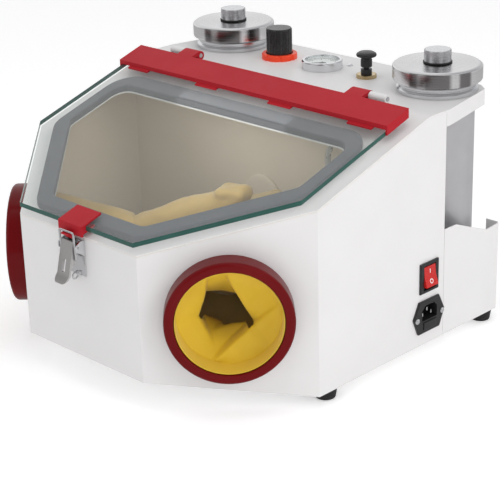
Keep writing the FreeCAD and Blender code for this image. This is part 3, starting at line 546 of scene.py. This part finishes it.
arms = {"left": [((-66, -60, 106), 24.5), ((-20, -38, 132), 21.5), ((28, -23, 156), 17),
                 ((47, -15, 169), 11)],
        "right": [((70, -65, 105), 24.5), ((86, -57, 134), 19.5), ((100, -43, 168), 14),
                  ((111, -34, 183), 9)]}
finger_count = 4
finger_gap = 7.2 * mm
for name, rolls in arms.items():
    rolls = [(Vector(centre) * mm, radius * mm) for centre, radius in rolls]
    hand = bmesh.new()
    for (start, first_radius), (end, last_radius) in zip(rolls, rolls[1:]):
        add_roll(hand, start, end, first_radius, last_radius)
    palm, tip = rolls[2][0], rolls[3][0]
    along = (tip - palm).normalized()
    across = along.cross(Vector((0, 0, 1))).normalized()
    below = across.cross(along)
    for number in range(finger_count):
        spread = across * (number - 1.5) * finger_gap
        knuckle = tip + spread + along * 1.5 * mm
        root = palm + spread * 0.9
        add_roll(hand, root, knuckle, 6.6 * mm, 6.2 * mm)
        add_roll(hand, knuckle, root + below * 13 * mm + along * 6 * mm, 6.0 * mm, 5.4 * mm)
    hand_mesh = bpy.data.meshes.new("hand_form")
    hand.to_mesh(hand_mesh)
    hand.free()
    form = bpy.data.objects.new("hand_form", hand_mesh)
    bpy.context.scene.collection.objects.link(form)
    remesh = form.modifiers.new("skin", "REMESH")
    remesh.mode = "VOXEL"
    remesh.voxel_size = 1.8 * mm
    skin = bpy.data.meshes.new_from_object(form.evaluated_get(bpy.context.evaluated_depsgraph_get()))
    bpy.data.objects.remove(form)
    hand = bmesh.new()
    hand.from_mesh(skin)
    for vertex in hand.verts:
        wrinkle = noise.noise(Vector(vertex.co) * 55) * 1.6 + noise.noise(Vector(vertex.co) * 140) * 0.7
        vertex.co += vertex.normal * wrinkle * mm
    soften(hand, hand.verts, 5)
    add_piece("rubber_hand_" + name, hand, [dusty_rubber], "cabinet", "glove_rubber", "glove_" + name,
              even=False)

# ------------------------------------------------------------------ tanks
# Two abrasive tanks of drawn aluminium tube. Each ends in a polished neck with a rubber seal above the
# deck, and in a cast funnel foot with a hose nipple below.
drawn_tube = metal("drawn_aluminium", (0.86, 0.86, 0.88), 0.46, (1, 1, 0.02), 900, 0.02 * mm)
neck_chrome = metal("neck_chrome", (0.74, 0.75, 0.77), 0.20, (0.05, 0.05, 1), 1500, 0.01 * mm,
                    anisotropic=0.6)
cast_foot = moulding("cast_foot", (0.42, 0.42, 0.43), 0.5, 0.1 * mm)
cast_foot.set(metallic=0.9)
seal_rubber = moulding("seal_rubber", (0.010, 0.010, 0.010), 0.55)
tube_wall_thickness = 2.5
tank_centres = {}
for name in ("left", "right"):
    low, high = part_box("tank_tube_" + name)
    radius = (high.x - low.x) / 2 / mm
    tank_centres[name] = Vector(((low.x + high.x) / 2, (low.y + high.y) / 2, 0))
    inner_radius = radius - tube_wall_thickness
    foot, top = low.z / mm, high.z / mm
    wall = [(radius, foot), (radius, top), (inner_radius, top), (inner_radius, foot)]
    add_piece("drawn_tube_" + name, ease(spun(wall, tank_centres[name]), 0.3 * mm), [drawn_tube], "cabinet",
              "tank_metal", "tank_tube_" + name)
    neck = [(34, 250), (40.5, 250), (40.5, 258.6), (42.6, 258.6), (43, 259.0), (43, 262.2), (41.8, 263.4),
            (41.0, 264.0), (40.4, 264.6), (40.4, 265.4), (40.9, 265.9), (40.9, 268.0), (40.3, 268.8),
            (34, 268.8)]
    turned_neck = ease(spun(neck, tank_centres[name], steps=128), 0.15 * mm)
    add_piece("polished_neck_" + name, turned_neck, [neck_chrome], "cabinet", "chrome", "tank_necks")
    seal = [(36.8, 268.9), (38.2, 268.9), (38.3, 270.0), (37.5, 270.3), (36.7, 270.0)]
    add_piece("neck_ring_seal_" + name, spun(seal, tank_centres[name]), [seal_rubber], "cabinet",
              "seal_rubber", "neck_seals")
add_piece("cast_funnel_feet", ease(copy_of("tank_feet"), 0.8 * mm), [cast_foot], "cabinet", "tank_metal",
          "tank_feet")

# ------------------------------------------------------------------ tank caps
# Each cap is turned from solid aluminium, with a broad band of painted reflection, mostly bright, round its
# edge and fine rings on top.
# A knurled chrome knob and a thick black washer screw on to its middle.
# Colours of the painted reflections down the caps' sides: bright, half-lit and dark bands.
bright, half, dark = (0.86, 0.86, 0.87), (0.46, 0.45, 0.45), (0.13, 0.12, 0.12)
painted_reflection_strength = 0.8
no_painted_reflections = 1.0


def turned_face(name, centre, colour, roughness, side_radius, **numbers):
    """Metal faced on a lathe: rings round the centre, and bright and dark bands of painted reflection down
    its side.
    """
    finish = Finish(name, metallic=1.0, **numbers)
    middle = finish.node("ShaderNodeMapping", {"Vector": finish.place, "Location": tuple(-centre)})
    across_axis = finish.node("ShaderNodeVectorMath", {0: middle, 1: (1, 1, 0)}, operation="MULTIPLY")
    radius = finish.node("ShaderNodeVectorMath", {0: across_axis}, output="Value", operation="LENGTH")
    height = Signal(finish, finish.node("ShaderNodeSeparateXYZ", {0: middle}).socket.node.outputs["Z"])
    rings = finish.node("ShaderNodeTexNoise", {"W": radius + height, "Scale": 1600.0, "Detail": 2.0},
                        noise_dimensions="1D")
    smudges = finish.noise(30, 3)
    sideways = finish.node("ShaderNodeSeparateXYZ", {0: middle})
    backward = Signal(finish, sideways.socket.node.outputs["Y"])
    angle = sideways.maths("ARCTAN2", backward, sideways) / full_turn + 0.5
    # Painted reflection: bright and dark bands set by the angle round the axis, painted into the colour of
    # the side.
    painted_reflection_bands = finish.node("ShaderNodeValToRGB", {0: angle}, stops=[
        (0.0, bright), (0.245, bright), (0.258, dark), (0.278, dark), (0.290, half), (0.308, half),
        (0.318, dark), (0.395, dark), (0.410, bright), (0.430, bright), (0.440, dark), (0.478, dark),
        (0.490, bright), (0.6, bright)])
    side = (radius > side_radius) * painted_reflection_strength
    faced_colour = finish.mix(smudges, tuple(c * 0.9 for c in colour), colour)
    finish.set(base_color=finish.mix(side, faced_colour, painted_reflection_bands),
               roughness=rings * 0.16 + smudges * 0.05 + roughness - 0.1,
               normal=finish.bump(rings, 0.02 * mm, 0.6))
    return finish


def knurled(centre, low, high, radius, teeth, depth, top_bevel):
    """A knob with straight knurling: a toothed disc drawn up, with smooth bevelled rims."""
    shape = bmesh.new()
    bmesh.ops.create_circle(shape, cap_ends=True, radius=radius, segments=teeth * 4)
    rim = sorted(shape.verts, key=lambda v: math.atan2(v.co.y, v.co.x))
    valleys = [v for number, v in enumerate(rim) if number % 4 in (0, 1)]
    inward = 1 - depth / radius
    bmesh.ops.scale(shape, vec=(inward, inward, 1), verts=valleys)
    straight = high - low - 2 * top_bevel
    for step, narrowing in ((straight, 1), (top_bevel * 0.6, 0.985), (top_bevel * 0.4, 0.95)):
        top = [f for f in shape.faces if len(f.verts) > 4 and f.calc_center_median().z > -1]
        highest = max(top, key=lambda f: f.calc_center_median().z)
        grown = bmesh.ops.extrude_face_region(shape, geom=[highest])["geom"]
        moved = [v for v in grown if isinstance(v, bmesh.types.BMVert)]
        bmesh.ops.translate(shape, vec=(0, 0, step), verts=moved)
        bmesh.ops.scale(shape, vec=(narrowing, narrowing, 1), verts=moved)
    bmesh.ops.recalc_face_normals(shape, faces=shape.faces)
    bmesh.ops.translate(shape, vec=centre + Vector((0, 0, low)), verts=shape.verts)
    return shape


for name in ("left", "right"):
    centre = tank_centres[name]
    faced = turned_face("faced_aluminium_" + name, centre, (0.72, 0.72, 0.73), 0.24, 46.3 * mm,
                        anisotropic=0.75)
    cap = [(4.05, 287.3), (42.6, 287.3), (44.4, 286.9), (46.6, 285.2), (47.0, 284.6), (47.0, 272.2),
           (46.5, 270.8), (33, 270.75), (33, 263), (31, 262), (28, 262), (28, 274), (4.05, 274)]
    turned_cap = ease(spun(cap, centre, steps=160), 0.25 * mm, 35)
    add_piece("turned_cap_" + name, turned_cap, [faced], "tank_cap_" + name, "cap_metal",
              "tank_cap_" + name)
    washer = [(4.1, 287.35), (14.6, 287.35), (15.2, 287.8), (15.2, 288.8), (14.6, 289.15), (4.1, 289.15)]
    add_piece("knob_washer_" + name, spun(washer, centre), [seal_rubber], "tank_cap_" + name, "seal_rubber")
    knob_low, knob_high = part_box("cap_knob_" + name)
    knob = knurled(centre, 289.2 * mm, knob_high.z, 14.2 * mm, 60, 0.35 * mm, 1.0 * mm)
    knob_metal = turned_face("knurled_chrome_" + name, centre, (0.70, 0.71, 0.73), 0.26, no_painted_reflections)
    add_piece("knurled_knob_" + name, knob, [knob_metal], "cap_knob_" + name, "chrome", "cap_knob_" + name)

# ------------------------------------------------------------------ lid
# One pane of 6 mm float glass with a green edge. A folded red steel bar grips its rear edge with four
# tongues, and turns on steel pins in two barrels welded to the deck.
red_coat = powder_coat("red_powder_coat", (0.47, 0.016, 0.026), (0.40, 0.012, 0.021), 0.46, level=0.14)
clear = Finish("clear_pane", base_color=(0.96, 0.985, 0.975), roughness=0.02, ior=1.45)
see_through = clear.node("ShaderNodeBsdfTransparent", {"Color": (0.972, 0.984, 0.978, 1)})
facing = clear.node("ShaderNodeLayerWeight", {"Blend": 0.5}, output="Facing")
surface = Signal(clear, clear.shader.outputs[0])
pane_mix = clear.node("ShaderNodeMixShader", {0: facing ** 3 * 0.26 + 0.03, 1: see_through, 2: surface})
clear.tree.links.new(pane_mix.socket, clear.tree.nodes["Material Output"].inputs["Surface"])
glass_edge = Finish("green_glass_edge", coat_weight=0.5)
edge_tint = glass_edge.noise(60)
glass_edge.set(base_color=glass_edge.mix(edge_tint, (0.006, 0.060, 0.045), (0.014, 0.100, 0.080)),
               roughness=glass_edge.noise(150) * 0.2 + 0.05)


def add_copies(body, rows):
    """Pieces that only need their edges rounded: node, name, rounding in mm, finish and slot."""
    for node, name, width, finish, slot in rows:
        shape = copy_of(node)
        add_piece(name, ease(shape, width * mm) if width else shape, [finish], body, slot, node)


pane = ease(copy_of("lid_glass"), 0.5 * mm, 28, 2)
for face in pane.faces:
    face.material_index = int(abs(face.normal.dot(window_normal)) < 0.8)
add_piece("window_pane", pane, [clear, glass_edge], "lid", "lid_glass", "lid_glass")
add_copies("lid", [("lid_bar", "folded_lid_bar", 0.7, red_coat, "red_coat"),
                   ("lid_clip", "glass_clip", 0.6, red_coat, "red_coat")])
add_copies("cabinet", [("hinge_barrels", "welded_barrels", 0.4, white_coat, "white_coat"),
                       ("hinge_pins", "hinge_pin_rods", 0.3, ground_steel, "steel")])

# ------------------------------------------------------------------ toggle latch
# A pressed and plated over-centre latch: a base plate riveted to the front panel, a slotted lever and a
# round wire bail that hooks under the clip on the glass.
satin_nickel = metal("satin_nickel", (0.66, 0.65, 0.64), 0.34, (1, 1, 0.04), 900, 0.015 * mm)
add_copies("cabinet", [("latch_base", "latch_plate", 0.25, polished, "chrome")])
add_copies("latch_lever", [("latch_lever", "latch_handle", 0.3, satin_nickel, "chrome")])
add_copies("latch_bail", [("latch_bail", "latch_wire", 0, polished, "chrome")])

# ------------------------------------------------------------------ pressure regulator
# A panel regulator hung under the deck. Above it sit an orange notched lock ring and a fluted black knob,
# which pulls up to unlock and turns its spindle.
orange = moulding("orange_ring_plastic", (0.80, 0.050, 0.010), 0.34)
knob_black = moulding("knob_black", (0.016, 0.015, 0.016), 0.26)
add_copies("cabinet", [("regulator_body", "regulator_casting", 0.4, black_moulding, "black_plastic"),
                       ("regulator_ring", "panel_ring", 0.5, orange, "orange_plastic")])
add_copies("regulator_spindle", [("regulator_spindle", "spindle_rod", 0.3, ground_steel, "steel")])
add_copies("regulator_knob", [("regulator_knob", "fluted_knob", 0.3, knob_black, "black_plastic")])

# ------------------------------------------------------------------ pressure gauge
# A round panel gauge: a bright rolled bezel, a printed white dial with a ring of division marks, a black
# needle and a clear lens.
dial_card = moulding("dial_card", (0.80, 0.80, 0.80), 0.5)
dial_ink = moulding("dial_ink", (0.02, 0.02, 0.022), 0.5)
add_copies("cabinet", [("gauge_case", "gauge_body", 0.4, polished, "chrome"),
                       ("gauge_dial", "dial_plate", 0, dial_card, "dial_face"),
                       ("gauge_lens", "gauge_glass", 0.3, clear, "lens_glass")])
add_copies("gauge_needle", [("gauge_needle", "dial_needle", 0, dial_ink, "needle")])
dial_low, dial_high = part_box("gauge_dial")
dial_centre = (dial_low + dial_high) / 2
mark_radius = 15.6 * mm
mark_count = 31
mark_round = 0.12 * mm
dial_start = 225
dial_sweep = 270
marks = bmesh.new()
for number in range(mark_count):
    long_mark = number % 5 == 0
    angle = math.radians(dial_start - dial_sweep * number / (mark_count - 1))
    size = Vector((3.4 if long_mark else 1.8, 0.55 if long_mark else 0.35, 0.16)) * mm
    outward = mark_radius + (1.6 * mm - size.x / 2)
    place = Vector((dial_centre.x + outward * math.cos(angle), dial_centre.y + outward * math.sin(angle),
                    dial_high.z + 0.06 * mm))
    turn = Matrix.Translation(place) @ Matrix.Rotation(angle, 4, "Z") @ Matrix.Diagonal((*size, 1))
    mark = bmesh.ops.create_cube(marks, size=1, matrix=turn)["verts"]
    corners = [e for e in marks.edges
               if e.verts[0] in mark and abs((e.verts[0].co - e.verts[1].co).z) > 0.1 * mm]
    bmesh.ops.bevel(marks, geom=corners, offset=mark_round, affect="EDGES", segments=2, profile=0.5,
                    material=-1)
add_piece("dial_marks", marks, [dial_ink], "cabinet", "dial_face")

# ------------------------------------------------------------------ air valve
# A push-pull spool valve hung under the deck and held by a knurled brass nut. A black collar guides its
# moulded plunger, which has a mushroom head to pull on.
brass = metal("satin_brass", (0.60, 0.47, 0.27), 0.26)
add_copies("cabinet", [("valve_body", "valve_barrel", 0.3, black_moulding, "black_plastic")])
add_copies("valve_plunger", [("valve_plunger", "mushroom_plunger", 0.3, black_moulding, "black_plastic")])
nut_low, nut_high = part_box("valve_nut")
nut_centre = Vector(((nut_low.x + nut_high.x) / 2, (nut_low.y + nut_high.y) / 2, 0))
nut = knurled(nut_centre, nut_low.z, nut_high.z, (nut_high.x - nut_low.x) / 2, 36, 0.5 * mm, 0.6 * mm)
add_piece("knurled_nut", nut, [brass], "cabinet", "brass", "valve_nut")

# ------------------------------------------------------------------ mains switch and inlet
# A snap-in rocker switch, red with raised white on and off marks, over an earthed appliance inlet with a
# fuse drawer. Both are black thermoplastic; the inlet is held by two bright screws.
red_plastic = moulding("red_rocker_plastic", (0.50, 0.012, 0.010), 0.26)
mark_white = moulding("mark_white", (0.85, 0.84, 0.82), 0.4)
add_copies("cabinet", [("rocker_frame", "switch_bezel", 0.4, black_moulding, "black_plastic"),
                       ("mains_inlet", "inlet_body", 0.4, black_moulding, "black_plastic"),
                       ("inlet_pins", "inlet_blades", 0.3, polished, "chrome"),
                       ("panel_screws", "pan_head_screws", 0.2, polished, "chrome")])
add_copies("rocker", [("rocker", "rocker_key", 0.5, red_plastic, "red_plastic")])
add_copies("fuse_drawer", [("fuse_drawer", "fuse_carrier", 0.5, black_moulding, "black_plastic")])
rocker_pivot = Vector((203 * mm, 91.5 * mm, 87.4 * mm))
rocker_turn = Matrix.Rotation(math.radians(-12), 4, "Y")
key_middle = 5.8 * mm
key_rise = 1.4 * mm
key_half = 11 * mm
mark_height = 5.6 * mm
half_lean = math.atan(key_rise / key_half)


def on_rocker(height, lean):
    """A frame standing on one half of the key: x along it, y across it, z out of it."""
    out = Vector((1, 0, lean)).normalized()
    up = Vector((-lean, 0, 1)).normalized()
    frame_out = Matrix((up, Vector((0, 1, 0)), out)).transposed().to_4x4()
    place = Vector((key_middle + key_rise * abs(height) / key_half, 0, height))
    return Matrix.Translation(rocker_pivot) @ rocker_turn @ Matrix.Translation(place) @ frame_out


bar = bmesh.new()
bmesh.ops.create_cube(bar, size=1, matrix=Matrix.Diagonal((4.6 * mm, 0.9 * mm, 0.3 * mm, 1)))
bmesh.ops.bevel(bar, geom=list(bar.edges), offset=0.1 * mm, affect="EDGES", segments=2, profile=0.5,
                material=-1)
bmesh.ops.transform(bar, matrix=on_rocker(mark_height, -half_lean), verts=bar.verts)
add_piece("on_mark", bar, [mark_white], "rocker", "white_plastic")
ring_mark_profile = [(1.7, -0.15), (1.7, 0.1), (1.8, 0.16), (2.4, 0.16), (2.5, 0.1), (2.5, -0.15)]
ring_mark = spun(ring_mark_profile, Vector((0, 0, 0)), steps=40)
bmesh.ops.transform(ring_mark, matrix=on_rocker(-mark_height, half_lean), verts=ring_mark.verts)
add_piece("off_mark", ring_mark, [mark_white], "rocker", "white_plastic")

# ------------------------------------------------------------------ feet and rear connections
# Tapered rubber feet under the corners, push-in air fittings on the rear panel, and the moulded spigot that
# takes the dust extractor's hose. A dished plate screens the duct's mouth from flying abrasive.
foot_rubber = moulding("foot_rubber", (0.010, 0.010, 0.011), 0.6, 0.08 * mm)
add_copies("cabinet", [("feet", "rubber_feet", 0.8, foot_rubber, "foot_rubber"),
                       ("air_fittings", "push_in_fittings", 0.4, polished, "steel"),
                       ("exhaust_duct", "exhaust_tube", 0.5, black_moulding, "black_plastic")])
duct_low, duct_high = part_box("exhaust_duct")
duct_mouth = Vector(((duct_low.x + duct_high.x) / 2, duct_low.y, (duct_low.z + duct_high.z) / 2))
baffle_profile = [(0, 1.2), (22, 1.2), (26, 0.7), (27.4, -0.6), (27.4, -2.6), (26.6, -2.6), (26.6, -0.9),
                  (25.6, 0), (22, 0.4), (0, 0.4)]
baffle = spun(baffle_profile, duct_mouth, Vector((0, -1, 0)))
add_piece("duct_baffle", baffle, [chamber_coat], "cabinet", "inner_coat")
